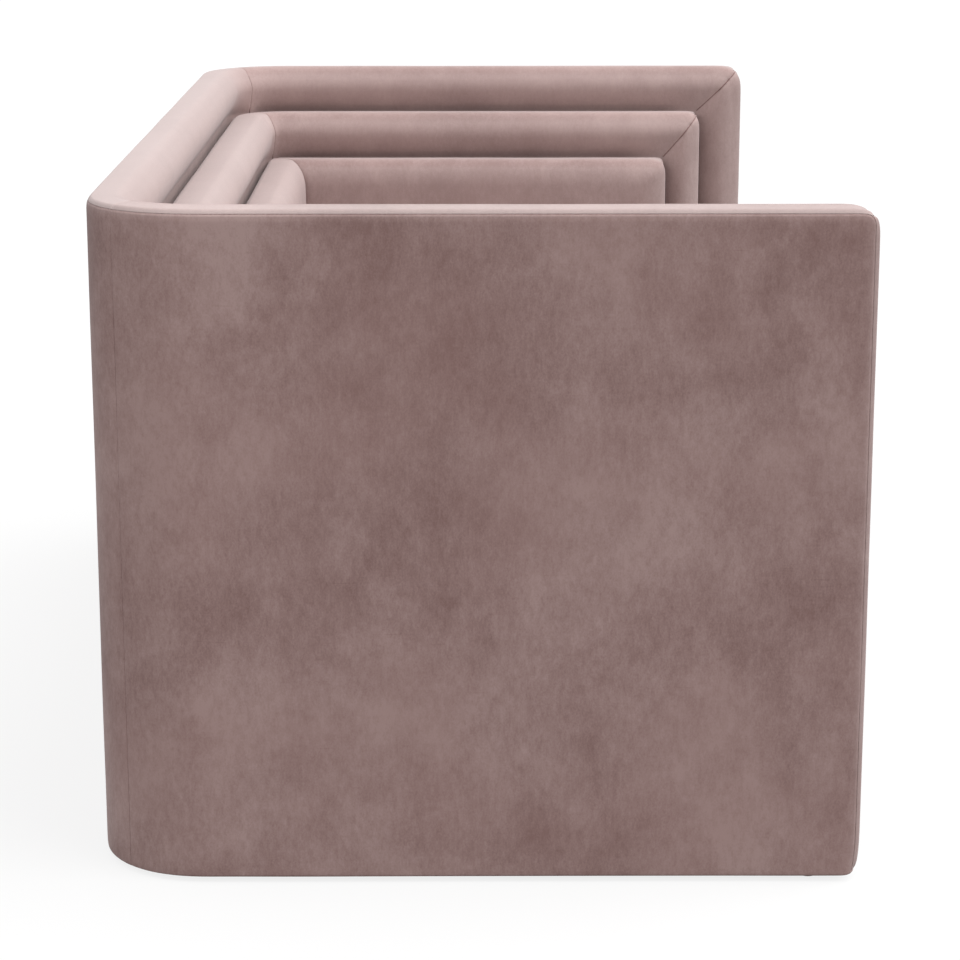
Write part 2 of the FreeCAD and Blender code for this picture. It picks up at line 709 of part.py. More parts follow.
def spring_clips():
    made = []
    for count, x in enumerate(spring_places()):
        at = f"{round(x / number('spring_pitch'))} * spring_pitch"
        for end, y in zip(("front", "rear"), CLIP_ROWS):
            name = f"spring_clip_{end}_{count}"
            body = box(f"{name}_body", (f"{at} - clip_length / 2", f"{at} + clip_length / 2"),
                       (f"{y} - clip_depth / 2", f"{y} + clip_depth / 2"),
                       ("seat_rail_top", "seat_rail_top + clip_height"))
            bore = rod(f"{name}_bore", "wire_radius + wire_gap", "clip_length + 2 * tool_margin",
                       (f"{at} + clip_length / 2 + tool_margin", y, WIRE_Z), LEFTWARD)
            made.append(cut(name, body, [bore]))
    return group("spring_clips", made)


keep(seat_springs())
keep(spring_clips())


# Deck over the springs, the border below the cushion, and the cloth underneath.
# A square corner clears a rounded one at 0.293 of its radius from each wall.
DECK_CLEAR = "(0.3 * seat_corner_radius + deck_gap)"
DECK_X = (f"-{SEAT_HALF} + {DECK_CLEAR}", f"{SEAT_HALF} - {DECK_CLEAR}")
DECK_Y = (BOX_FRONT, f"{SEAT_REAR} - {DECK_CLEAR}")
keep(box("spring_felt", DECK_X, DECK_Y, ("seat_rail_top + clip_height", DECK_BOTTOM)))
keep(box("deck_pad", DECK_X, DECK_Y, (DECK_BOTTOM, DECK_TOP)))
keep(box("dust_cover",
         (f"-{BOX_HALF} + dust_cover_margin", f"{BOX_HALF} - dust_cover_margin"),
         (f"{BOX_FRONT} + dust_cover_margin", f"{BOX_REAR} - dust_cover_margin"),
         (f"{BOTTOM} - dust_cover_thickness", BOTTOM)))


def block_body(name, x, y, z):
    """A body padded up from a rectangle between expressions."""
    body = doc.addObject("PartDesign::Body", name)
    sketch = new_sketch(body, f"{name}_plan", "XY_Plane", z[0])
    x0, x1, y0, y1 = (number(text) for text in (*x, *y))
    corners = [Vector(x0, y0, 0), Vector(x1, y0, 0), Vector(x1, y1, 0), Vector(x0, y1, 0)]
    for index, corner in enumerate(corners):
        sketch.addGeometry(Part.LineSegment(corner, corners[(index + 1) % 4]))
    for index in range(4):
        sketch.addConstraint(Sketcher.Constraint("Coincident", index, 2, (index + 1) % 4, 1))
        level = "Horizontal" if index % 2 == 0 else "Vertical"
        sketch.addConstraint(Sketcher.Constraint(level, index))
    dimension(sketch, "left", "DistanceX", (0, 1, -1, 1), f"-({x[0]})")
    dimension(sketch, "right", "DistanceX", (-1, 1, 0, 2), x[1])
    dimension(sketch, "front", "DistanceY", (0, 1, -1, 1), f"-({y[0]})")
    dimension(sketch, "depth", "DistanceY", (1, 1, 1, 2), f"({y[1]}) - ({y[0]})")
    pad = body.newObject("PartDesign::Pad", f"{name}_pad")
    pad.Profile = sketch
    pad.setExpression("Length", bound(f"({z[1]}) - ({z[0]})"))
    return body, pad


def front_border():
    body, pad = block_body("front_border", (f"-{SEAT_HALF}", SEAT_HALF), (SEAT_FRONT, BOX_FRONT),
                           (BOTTOM, DECK_TOP))
    front_y, top_z = number(SEAT_FRONT), number(DECK_TOP)

    def top_front(edge):
        return all(abs(p.y - front_y) < NEAR and abs(p.z - top_z) < NEAR for p in points_of(edge))

    fillet(body, "front_border_edge", pad, "border_edge_radius", top_front)
    return body


keep(front_border())


# The loose cushion: foam in a velvet cover with a zip along its rear side.
CUSHION_X = f"({SEAT_HALF} - cushion_side_gap)"
CUSHION_FRONT = f"({SEAT_FRONT} - cushion_overhang)"
CUSHION_REAR = f"({SEAT_REAR} - cushion_rear_gap)"
CUSHION_BOTTOM = f"({DECK_TOP} + cushion_rest_gap)"
CUSHION_TOP = f"({CUSHION_BOTTOM} + cushion_thickness)"


def cushion_body(name, inset):
    low, high = f"({CUSHION_BOTTOM} + {inset})", f"({CUSHION_TOP} - {inset})"
    body, pad = block_body(name, (f"-({CUSHION_X} - {inset})", f"({CUSHION_X} - {inset})"),
                           (f"{CUSHION_FRONT} + {inset}", f"{CUSHION_REAR} - {inset}"),
                           (low, high))
    low_z, high_z = number(low), number(high)

    def upright(edge):
        return low_z + NEAR < middle_of(edge).z < high_z - NEAR

    def rim(edge):
        return not upright(edge)

    corners = fillet(body, f"{name}_corners", pad, f"cushion_corner_radius - {inset}", upright)
    fillet(body, f"{name}_rims", corners, f"cushion_edge_radius - {inset}", rim)
    return body


cushion_foam = keep(cushion_body("seat_cushion_foam", "cover_thickness"))
keep(cut("seat_cushion_cover", cushion_body("seat_cushion_envelope", "0"), [cushion_foam]))

ZIP_Z = f"(({CUSHION_BOTTOM} + {CUSHION_TOP}) / 2)"
TAPE_FACE = f"({CUSHION_REAR} + zip_tape_thickness)"
ZIP_HALF = "(zip_length / 2)"


def across(middle, size):
    return f"{middle} - ({size}) / 2", f"{middle} + ({size}) / 2"


def zip_tape():
    whole = (f"-{ZIP_HALF}", ZIP_HALF)
    tape = box("zip_tape_strip", whole, (CUSHION_REAR, TAPE_FACE), across(ZIP_Z, "zip_tape_height"))
    teeth = box("zip_teeth", whole, (TAPE_FACE, f"{TAPE_FACE} + zip_teeth_depth"),
                across(ZIP_Z, "zip_teeth_height"))
    stop_y = (TAPE_FACE, f"{TAPE_FACE} + slider_depth")
    left_stop = box("zip_left_stop", (f"-{ZIP_HALF}", f"-{ZIP_HALF} + zip_stop_length"), stop_y,
                    across(ZIP_Z, "zip_teeth_height"))
    return fused("zip_tape", [tape, teeth, left_stop, mirrored("zip_right_stop", left_stop)])


def zip_slider():
    """The slider at the closed end, with a channel over the teeth and a hanging pull."""
    closed = f"({ZIP_HALF} - zip_stop_length - slider_gap - slider_length / 2)"
    face = f"({TAPE_FACE} + slider_gap)"
    outside = f"({TAPE_FACE} + slider_depth)"
    body = box("slider_body", across(closed, "slider_length"), (face, outside),
               across(ZIP_Z, "slider_height"))
    channel = box("slider_channel", across(closed, "slider_length + 2 * tool_margin"),
                  (TAPE_FACE, f"{TAPE_FACE} + zip_teeth_depth + slider_gap"),
                  across(ZIP_Z, "zip_teeth_height + 2 * slider_gap"))
    pull = box("slider_pull", across(closed, "pull_width"), (f"{outside} - pull_thickness", outside),
               (f"{ZIP_Z} - slider_height / 2 - pull_length", ZIP_Z))
    return cut("zip_slider", fused("slider_blank", [body, pull]), [channel])


keep(zip_tape())
keep(zip_slider())


# Check every object, then write one file for each node.
doc.recompute()
failed = [piece.Name for piece in doc.Objects if {"Invalid", "Error"} & set(piece.State)]
bad = [piece.Label for piece in nodes if piece.Shape.isNull() or not piece.Shape.isValid()]
if failed or bad:
    raise RuntimeError(f"failed objects {failed}, bad shapes {bad}")
os.makedirs("parts", exist_ok=True)
for piece in nodes:
    piece.Shape.exportStep(f"parts/{piece.Label}.step")
    solids = piece.Shape.Solids
    print(f"{piece.Label}: {len(solids)} solid(s), {piece.Shape.Volume / 1e6:.4f} litres")
print(f"{len(nodes)} nodes")
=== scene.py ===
# %% [markdown]
# # A three-tier velvet loveseat
# The real sofa is three padded shells, nested like stacking boxes. Each is lower and further
# back than the one outside it, and a loose bench cushion fills the middle.
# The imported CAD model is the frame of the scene: every new piece takes its place from it.

# %% The frame
import math

import bmesh
import bpy
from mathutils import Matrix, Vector, noise


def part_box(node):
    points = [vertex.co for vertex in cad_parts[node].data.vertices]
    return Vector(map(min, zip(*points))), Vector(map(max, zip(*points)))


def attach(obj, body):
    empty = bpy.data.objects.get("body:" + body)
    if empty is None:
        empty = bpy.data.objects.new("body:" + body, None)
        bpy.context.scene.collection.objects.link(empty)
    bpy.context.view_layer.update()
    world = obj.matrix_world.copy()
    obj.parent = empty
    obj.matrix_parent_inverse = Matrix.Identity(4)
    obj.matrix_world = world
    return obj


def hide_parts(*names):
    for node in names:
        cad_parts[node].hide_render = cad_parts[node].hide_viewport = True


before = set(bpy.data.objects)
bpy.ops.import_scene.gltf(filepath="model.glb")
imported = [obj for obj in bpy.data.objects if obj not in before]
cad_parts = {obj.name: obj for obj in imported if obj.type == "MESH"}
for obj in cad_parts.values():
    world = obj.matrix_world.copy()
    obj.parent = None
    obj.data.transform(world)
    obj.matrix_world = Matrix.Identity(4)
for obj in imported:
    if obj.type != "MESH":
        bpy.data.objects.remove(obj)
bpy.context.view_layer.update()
scene = bpy.context.scene
scene.view_settings.view_transform = "Standard"

# %% [markdown]
# ## The camera
# The photograph looks along the sofa at the outside of one arm. Its uprights stay upright and
# its level lines stay level, although the eye is above the arm, so its lens was slid down by two
# thirds of the picture. Every other view would keep a shift as large as that and lose the sofa
# past its edge, so this camera stands at the same eye but is tilted down instead. The sides of
# the near arm then lean in by about two degrees towards the floor.

# %% Camera
FOCAL_PIXELS = 2786.0
PHOTO_WIDTH = 960
SENSOR = 36.0
EYE = Vector((-3.477, 0.009, 1.105))
TILT_DOWN = 13.84
TURN_RIGHT = 0.255


def photo_camera():
    """A camera at the end of the sofa that looks along +X and down at the near arm."""
    data = bpy.data.cameras.new("photo_camera")
    data.sensor_width = SENSOR
    data.lens = FOCAL_PIXELS / PHOTO_WIDTH * SENSOR
    data.clip_end = 60
    camera = bpy.data.objects.new("photo_camera", data)
    scene.collection.objects.link(camera)
    camera.location = EYE
    camera.rotation_euler = (math.radians(90 - TILT_DOWN), 0, math.radians(-90 - TURN_RIGHT))
    return camera


scene.camera = photo_camera()
print("camera: lens", round(scene.camera.data.lens, 1), "mm at", tuple(EYE))

# %% [markdown]
# ## Shader maths as Python
# A material is a graph of nodes. Written out link by link it is hard to read, so a small class
# wraps a socket and turns plus, minus, times and divide into Math nodes.

# %% Sockets and finishes


class Wire:
    """One output socket of a graph, with plain arithmetic on it."""

    def __init__(self, finish, socket):
        self.finish = finish
        self.socket = socket

    def maths(self, operation, first, second):
        return self.finish.node("ShaderNodeMath", {"operation": operation}, {0: first, 1: second})

    def __add__(self, other):
        return self.maths("ADD", self, other)

    def __sub__(self, other):
        return self.maths("SUBTRACT", self, other)

    def __rsub__(self, other):
        return self.maths("SUBTRACT", other, self)

    def __mul__(self, other):
        return self.maths("MULTIPLY", self, other)

    def __truediv__(self, other):
        return self.maths("DIVIDE", self, other)


class Finish:
    """A material and its graph. node() adds any node and returns one of its outputs."""

    def __init__(self, name):
        self.material = bpy.data.materials.new(name)
        self.material.use_nodes = True
        self.tree = self.material.node_tree
        self.tree.nodes.clear()

    def node(self, kind, settings=None, sockets=None, output=0):
        made = self.tree.nodes.new(kind)
        for key, value in (settings or {}).items():
            if key == "stops":
                ramp = made.color_ramp.elements
                while len(ramp) < len(value):
                    ramp.new(0.5)
                for stop, (place, colour) in zip(ramp, value):
                    stop.position = place
                    stop.color = colour
            else:
                setattr(made, key, value)
        by_id = {socket.identifier: socket for socket in made.inputs}
        for key, value in (sockets or {}).items():
            socket = by_id.get(key) or made.inputs[key]
            if isinstance(value, Wire):
                self.tree.links.new(value.socket, socket)
            else:
                socket.default_value = value
        return Wire(self, made.outputs[output])

    def object_place(self, scale=(1, 1, 1), turn=(0, 0, 0)):
        """Object coordinates, stretched and turned by a Mapping node."""
        place = self.node("ShaderNodeTexCoord", output="Object")
        return self.node("ShaderNodeMapping", None, {"Vector": place, "Scale": scale, "Rotation": turn})

    def noise(self, place, scale, detail=2.0, rough=0.5, warp=0.0):
        return self.node("ShaderNodeTexNoise", None, {
            "Vector": place, "Scale": scale, "Detail": detail, "Roughness": rough, "Distortion": warp})

    def ramp(self, factor, *stops):
        return self.node("ShaderNodeValToRGB", {"stops": stops}, {"Fac": factor})

    def span(self, value, low, high, to_low=0.0, to_high=1.0):
        return self.node("ShaderNodeMapRange", {"interpolation_type": "SMOOTHSTEP"}, {
            "Value": value, "From Min": low, "From Max": high, "To Min": to_low, "To Max": to_high})

    def mix(self, factor, first, second):
        return self.node("ShaderNodeMix", {"data_type": "RGBA"}, {
            "Factor_Float": factor, "A_Color": first, "B_Color": second}, output=2)

    def attribute(self, name):
        """A value that the pieces themselves carry on their points."""
        return self.node("ShaderNodeAttribute", {"attribute_name": name}, output="Fac")

    def bump(self, height, strength, distance):
        return self.node("ShaderNodeBump", None, {
            "Height": height, "Strength": strength, "Distance": distance})

    def surface(self, sockets):
        return self.close(self.node("ShaderNodeBsdfPrincipled", None, sockets))

    def close(self, shader):
        end = self.tree.nodes.new("ShaderNodeOutputMaterial")
        self.tree.links.new(shader.socket, end.inputs["Surface"])
        return self.material


def rgb(red, green, blue):
    """A colour as seen on screen, 0 to 255, as the linear values that a shader takes."""
    def linear(level):
        level /= 255
        return level / 12.92 if level <= 0.04045 else ((level + 0.055) / 1.055) ** 2.4
    return (linear(red), linear(green), linear(blue), 1.0)


print("finishes: ready")

# %% [markdown]
# ## Velvet
# Velvet is a forest of short upright threads. Seen head on the eye looks down between them and
# the cloth is deep and dull; seen along the cloth the tips catch the light, which Sheen does.
# A hand that brushes it leaves soft clouds, lighter where the pile lies one way, so the colour
# drifts in large and middling patches. A finer streak follows the weave, and a fine bump is pile.
# An attribute named seam, drawn by the pieces themselves, darkens the cloth in its seams.
# Another, calm, quiets the clouds on the rolls, where the cloth is pulled tight over a curve.
# A third attribute is painted light. It makes the cloth paler on tops and rolls as a painted highlight
# where light falls from above, and less pale down into the creases as painted shade.

# %% Velvet
DEEP_PILE = rgb(138, 110, 106)
EVEN_PILE = rgb(157, 130, 126)
PALE_PILE = rgb(174, 148, 144)
WARM_TINT = rgb(155, 123, 118)
# The pale tone that is painted on tops and rolls as a highlight.
PAINTED_SHEEN_TONE = rgb(205, 193, 191)
SEAM_TONE = rgb(126, 85, 81)
MEAN_LAY = 0.69


def velvet(name):
    """Brushed pile. Noise averages a half, so MEAN_LAY, half of the four shares, centres the lay."""
    made = Finish(name)
    clouds = made.noise(made.object_place(), 2.7, 4, 0.55, 0.3)
    smears = made.noise(made.object_place((1, 1, 0.8), (0.5, 0.2, 0)), 22, 4, 0.6, 0.4)
    strokes = made.noise(made.object_place((1, 1, 0.5)), 190, 4, 0.7)
    grain = made.noise(made.object_place((1, 1, 0.8)), 520, 3, 0.7)
    streaks = made.noise(made.object_place((1, 0.045, 1), (0.3, 0.1, 0.7)), 380, 1, 0.5)
    marks = made.span(streaks, 0.72, 0.84, 0, 0.05)
    brushed_lay = clouds * 0.58 + smears * 0.30 + strokes * 0.28 + grain * 0.22 - MEAN_LAY - marks
    lay = brushed_lay * (1 - made.attribute("calm") * 0.62) + 0.5
    pile = made.ramp(lay, (0.38, DEEP_PILE), (0.5, EVEN_PILE), (0.62, PALE_PILE))
    tint = made.noise(made.object_place(), 5.2, 2, 0.5)
    tinted = made.mix(made.span(tint, 0.35, 0.7, 0, 0.25), pile, WARM_TINT)
    # Painted highlight: the painted-light attribute mixes the pale tone in on tops and rolls.
    painted_pale = made.mix(made.attribute("nap") * 0.5, tinted, PAINTED_SHEEN_TONE)
    stitches = made.span(made.noise(made.object_place(), 340, 0, 0.5), 0.42, 0.58, 0.4, 1)
    cloth = made.mix(made.attribute("seam") * stitches * 0.6, painted_pale, SEAM_TONE)
    rough = made.span(lay, 0.3, 0.7, 0.93, 0.78)
    tufts = made.noise(made.object_place((1, 1, 0.7)), 1400, 2, 0.65)
    normal = made.bump(tufts * 0.6 + strokes * 0.4, 0.25, 0.0006)
    return made.surface({
        "Base Color": cloth, "Roughness": rough, "Normal": normal, "Specular IOR Level": 0.12,
        "Sheen Weight": 0.22, "Sheen Roughness": 0.45, "Sheen Tint": (0.95, 0.98, 1.0, 1.0)})


VELVET = velvet("mauve_velvet")
print("velvet:", len(VELVET.node_tree.nodes), "nodes")

# %% [markdown]
# ## Inside finishes
# Most of the frame is out of sight, but the deck, springs, zip and glides show when the cushion
# is lifted or the sofa is tipped up, so each gets the grain or brushing of its own material.

# %% Timber, metal, cloth and plastic


def timber(name, pale, dark, rings):
    made = Finish(name)
    place = made.object_place((1, 9, 9))
    figure = made.noise(place, rings, 4, 0.6, 0.8)
    pores = made.noise(made.object_place((4, 60, 60)), 20, 2, 0.6)
    colour = made.ramp(figure * 0.8 + pores * 0.2, (0.35, dark), (0.62, pale))
    return made.surface({"Base Color": colour, "Roughness": made.span(pores, 0.3, 0.7, 0.5, 0.75),
                         "Normal": made.bump(pores, 0.2, 0.0005)})


def brushed(name, colour, worn, rough):
    made = Finish(name)
    marks = made.noise(made.object_place((1, 1, 14)), 160, 3, 0.6)
    return made.surface({"Base Color": made.mix(made.span(marks, 0.4, 0.7), colour, worn),
                         "Roughness": made.span(marks, 0.3, 0.7, rough - 0.1, rough + 0.12),
                         "Metallic": 1.0,
                         "Normal": made.bump(marks, 0.08, 0.0002)})


def woven(name, colour, shade, threads):
    made = Finish(name)
    waves = []
    for direction in "XYZ":
        waves.append(made.node("ShaderNodeTexWave", {"bands_direction": direction}, {
            "Vector": made.object_place(), "Scale": threads, "Distortion": 0.6, "Detail": 1.0}, output=1))
    weave = (waves[0] + waves[1] + waves[2]) / 3
    fuzz = made.noise(made.object_place(), 240, 3, 0.6)
    tone = weave * 0.6 + fuzz * 0.4
    return made.surface({"Base Color": made.mix(made.span(tone, 0.25, 0.75), shade, colour),
                         "Roughness": made.span(fuzz, 0.3, 0.7, 0.95, 0.8),
                         "Normal": made.bump(tone, 0.3, 0.0005)})


def foam(name):
    made = Finish(name)
    cells = made.node("ShaderNodeTexVoronoi", None, {"Vector": made.object_place(), "Scale": 420})
    drift = made.noise(made.object_place(), 6, 3, 0.5)
    colour = made.ramp(drift, (0.35, rgb(226, 214, 186)), (0.65, rgb(238, 230, 208)))
    return made.surface({"Base Color": colour,
                         "Roughness": made.span(cells, 0, 0.6, 0.95, 0.85),
                         "Normal": made.bump(cells, 0.3, 0.0008)})


def moulded(name, colour, scuffed):
    made = Finish(name)
    scuffs = made.noise(made.object_place(), 70, 4, 0.65)
    skin = made.noise(made.object_place(), 700, 2, 0.5)
    return made.surface({"Base Color": made.mix(made.span(scuffs, 0.5, 0.75), colour, scuffed),
                         "Roughness": made.span(scuffs, 0.3, 0.7, 0.42, 0.62),
                         "Normal": made.bump(skin, 0.12, 0.0002)})


FINISHES = {
    "velvet": VELVET,
    "foam": foam("cut_foam"),
    "plywood": timber("birch_plywood", rgb(214, 186, 146), rgb(176, 142, 100), 9),
    "timber": timber("beech_rails", rgb(206, 170, 128), rgb(164, 124, 84), 6),
    "zinc_steel": brushed("zinc_plated_steel", rgb(196, 198, 202), rgb(150, 152, 158), 0.38),
    "spring_steel": brushed("drawn_spring_wire", rgb(96, 98, 104), rgb(62, 64, 70), 0.42),
    "clip_steel": brushed("pressed_clip_steel", rgb(150, 152, 156), rgb(108, 110, 116), 0.4),
    "felt": woven("grey_felt", rgb(150, 146, 142), rgb(104, 100, 98), 90),
    "dust_cloth": woven("black_dust_cloth", rgb(52, 52, 54), rgb(26, 26, 28), 130),
    "glide_plastic": moulded("glide_plastic", rgb(96, 78, 74), rgb(132, 116, 110)),
    "zip_cloth": woven("zip_tape_weave", rgb(150, 122, 119), rgb(112, 88, 86), 320),
    "zip_metal": brushed("zip_slider_metal", rgb(176, 164, 158), rgb(132, 122, 118), 0.34),
}
for node_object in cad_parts.values():
    for slot in node_object.material_slots:
        old = slot.material.name.split(".")[0] if slot.material else ""
        slot.material = FINISHES.get(old, slot.material)
print("finishes:", len(FINISHES), "materials,",
      sorted({s.material.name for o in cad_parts.values() for s in o.material_slots if s.material}))

# %% [markdown]
# ## The sizes of the three tiers
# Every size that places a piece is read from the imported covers. Only small soft sizes, such as
# how far a roll swells, are given here, because the CAD solids are drawn without them. A rounded
# edge or roll has two radii, across and down, because padding sags into an ellipse.

# %% Tier sizes
UNDERLAP = 0.006  # how far a tier reaches under the one outside it


class Tier:
    """One padded shell: its box in the CAD, and the softness of its padding."""

    def __init__(self, name, corner, nose, edge, roll, tone):
        low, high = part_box(f"{name}_cover")
        self.name = name
        self.half = high[0]
        self.front = low[1]
        self.rear = high[1]
        self.bottom = low[2]
        self.top = high[2]
        self.corner = corner
        self.nose = nose
        self.edge, self.edge_tall = edge
        self.roll, self.roll_tall = roll
        self.tone = tone
        self.under = 0.0
        self.crease = None
        self.front_ratio = 1.0

    @property
    def length(self):
        return self.rear - self.front

    @property
    def height(self):
        return self.top - self.bottom


# The last number scales the painted highlight on each tier's back top.
OUTER = Tier("outer", 0.118, 0.042, (0.007, 0.013), (0.022, 0.034), 1.0)
MIDDLE = Tier("middle", 0.066, 0.030, (0.009, 0.009), (0.022, 0.034), 0.95)
INNER = Tier("inner", 0.016, 0.030, (0.009, 0.009), (0.024, 0.036), 0.8)
TIERS = (OUTER, MIDDLE, INNER)
THICK = OUTER.half - MIDDLE.half
for tier, inside in zip(TIERS, TIERS[1:]):
    tier.crease = tier.top - inside.top
    tier.front_ratio = (inside.front - tier.front) / tier.crease
    inside.under = UNDERLAP
print("tiers:", [(t.name, round(t.top, 3), t.crease and round(t.crease, 3)) for t in TIERS],
      "thick", round(THICK, 4))

# %% [markdown]
# ## How a tier is shaped
# A tier could be carved from its CAD solid, but a carved mesh has no lines where the seams run.
# Here each arm and back is a block, cut by planes into lines that are close together where the
# cloth turns and far apart where it is flat. Every point of the block then has three plain
# measures: how deep it lies from the top or front edge, how far across the thickness, and how
# far along. Rounding, swelling, creases and seams are small changes to those measures.

# %% The measures of a tier
MITRE_RUN = 0.15  # from the corner to where a block starts to slant to its mitre
SEAM_DEPTH = 0.0017  # the outer tier's seam, below its top edge
CROWN = 0.0018  # rise of the middle of a top
PROUD = 0.0008  # how much of that rise stands above the CAD
NOSE_SHAPE = 3.4  # how square a nose is
SWELL = 0.0016  # a roll at its fullest
TUCK = 0.0150  # how far a roll is drawn back in its crease
FULLEST = 0.38  # where a roll is fullest, as a share of the way to the crease
TUCK_SHAPE = 1.9  # how late a roll falls away
FACE_SWELL = 0.0014  # the inner tier's face, which has no crease
FACE_RUN = 0.15  # depth of that swell
PULL_RUN = 0.02  # depth over which a seam's pull fades
NOSE_FADE = 0.08  # how far past a nose its section still turns
NOSE_SHARP = 0.45  # share of a nose's radius at its outside
NOSE_SKIN = 0.014  # from the outside to where a nose has its whole radius
TOE = 0.020  # rounding of an arm's front at the floor
HEM = 0.0025  # rounding of the bottom edge
TINY = 1e-6


def rounded(u, v, radius, shape=2.0, tall=None):
    """A square corner, u and v measured in from its two sides, turned into a rounded one.

    A shape of 2 is a quarter circle, or a quarter ellipse where v has a radius of its own; a
    higher shape keeps closer to the square corner.
    """
    tall = tall or radius
    if u >= radius or v >= tall:
        return u, v
    du = 1 - u / radius
    dv = 1 - v / tall
    turn = max(du, dv) / (du ** shape + dv ** shape) ** (1 / shape)
    return radius * (1 - du * turn), tall * (1 - dv * turn)


def bell(distance, width):
    return math.exp(-(distance / width) ** 2)


def inside_swell(tier, depth):
    """How far the inner face stands proud, or tucks back, at a depth below the edge."""
    if tier.crease is None:
        return FACE_SWELL * math.sin(math.pi * min(depth / FACE_RUN, 1)) ** 2
    fullest = FULLEST * tier.crease
    if depth < fullest:
        share = depth / fullest
        return SWELL * share * share * (3 - 2 * share)
    fall = min((depth - fullest) / (tier.crease - fullest), 1)
    return SWELL - (SWELL + TUCK) * fall ** TUCK_SHAPE


def section(tier, across, depth, nose_gap, rear_gap):
    """A point of the block's section, rounded, crowned, swollen and drawn in at a seam."""
    full = THICK + tier.under
    u = across + tier.under
    on_inside = u > full - TINY
    on_outside = u < TINY
    nose_pull = 0.0 if on_outside else 0.0012 * bell(nose_gap, 0.003) + 0.0008 * bell(nose_gap, 0.012)
    rear_pull = (0.0001 if on_outside else 0.0006) * bell(rear_gap, 0.0022)
    pull = max(nose_pull, rear_pull)
    crown = CROWN * (1 - (2 * u / full - 1) ** 2) ** 2
    swell = inside_swell(tier, depth) if on_inside else 0.0
    if swell < 0:
        swell *= 1 - 0.55 * max(bell(nose_gap, 0.02), bell(rear_gap, 0.035))
    groove = 0.0
    if on_outside and tier is OUTER:
        groove = 0.0009 * bell(depth - SEAM_DEPTH, 0.0005) - 0.0003 * bell(depth - 0.0060, 0.0016)
    u = pull + u * (full - 2 * pull) / full
    depth = max(depth, pull + depth * (PULL_RUN - pull) / PULL_RUN)
    to_inside, depth_in = rounded(full - u, depth, tier.roll, 2.0, tier.roll_tall)
    u, depth = rounded(full - to_inside, depth_in, tier.edge, 2.0, tier.edge_tall)
    return u - tier.under + swell + groove, depth + CROWN - PROUD - crown


def hemmed_and_mitred(tier, p, q, above):
    """Rounds the bottom edge, slants a block's end to its mitre and turns the rear corner."""
    q, above = rounded(q + tier.under, above, HEM)
    q -= tier.under
    if p < MITRE_RUN:
        p = q + (MITRE_RUN - q) * p / MITRE_RUN
    p, q = rounded(p, q, tier.corner)
    return p, q, above


def arm_point(tier, across, along, depth):
    """Where a point of an arm's block lies, on the side of +X."""
    reach = along / tier.front_ratio
    near, far = min(reach, depth), max(reach, depth)
    nose_gap = (far - near) / math.sqrt(2) if tier.crease is not None else 1.0
    rear_gap = (tier.length - along) * 0.7
    q, near_now = section(tier, across, near, nose_gap, rear_gap)
    blend = max(0.0, 1 - (far - near) / NOSE_FADE) ** 2
    far_now = far + (near_now - near) * blend
    a, b = (far_now, near_now) if depth <= reach else (near_now, far_now)
    nose = tier.nose * (NOSE_SHARP + (1 - NOSE_SHARP) * max(0.0, min(q / NOSE_SKIN, 1)))
    a, b = rounded(a, b, nose, NOSE_SHAPE)
    a, above = rounded(a * tier.front_ratio, tier.height - b, TOE)
    p, q, above = hemmed_and_mitred(tier, tier.length - a, q, above)
    return Vector((tier.half - q, tier.rear - p, tier.bottom + above))


def back_point(tier, across, along, depth):
    """Where a point of the back's block lies; along is X."""
    to_side = tier.half - abs(along)
    q, b = section(tier, across, depth, 1.0, to_side * 0.7)
    p, q, above = hemmed_and_mitred(tier, to_side, q, tier.height - b)
    return Vector((math.copysign(tier.half - p, along), tier.rear - q, tier.bottom + above))


print("shaping: rolls", [round(t.roll * 1000) for t in TIERS], "mm, mitres over", MITRE_RUN, "m")

# %% [markdown]
# ## Cutting a block along chosen lines
# A cube is cut evenly along each axis by subdivide_edges, and then each cut is slid to the
# station that it stands for. Lines round a corner are spaced by equal angles of the turn.

# %% Stations and blocks
EDGE_TURNS = 6
ROLL_TURNS = 9
SEAM_STEP = 0.00042
ROLL_STEP = 0.0045
FLAT_STEP = 0.005
FACE_STEP = 0.012
COARSE_STEP = 0.024
PAST_CREASE = 0.03
FACE_LINES_END = 0.17
PLAIN_NOSE = 0.05


def turn_lines(radius, count):
    """Stations through a rounded corner, from its edge inwards, at equal angles."""
    return [radius * (1 - math.tan(math.radians(45 * k / count))) for k in range(count, -1, -1)]


def even_lines(start, end, step):
    count = max(1, round(abs(end - start) / step))
    return [start + (end - start) * k / count for k in range(count + 1)]


def tidy_lines(lines, least=0.00035):
    kept = []
    for line in sorted(lines):
        if not kept or line - kept[-1] > least:
            kept.append(line)
    return kept


def cut_block(bm, *stations):
    bmesh.ops.create_cube(bm, size=1)
    for axis, lines in enumerate(stations):
        whole = [e for e in bm.edges if abs((e.verts[0].co - e.verts[1].co)[axis]) > 0.99]
        bmesh.ops.subdivide_edges(bm, edges=whole, cuts=len(lines) - 2, use_grid_fill=True)
    for v in bm.verts:
        v.co = Vector([lines[round((place + 0.5) * (len(lines) - 1))]
                       for lines, place in zip(stations, v.co)])


def across_lines(tier):
    outer = [line - tier.under for line in turn_lines(tier.edge, EDGE_TURNS)]
    inner = [THICK - line for line in turn_lines(tier.roll, ROLL_TURNS)]
    flat = even_lines(outer[-1], THICK - tier.roll, FLAT_STEP)
    return tidy_lines(outer + flat + inner)


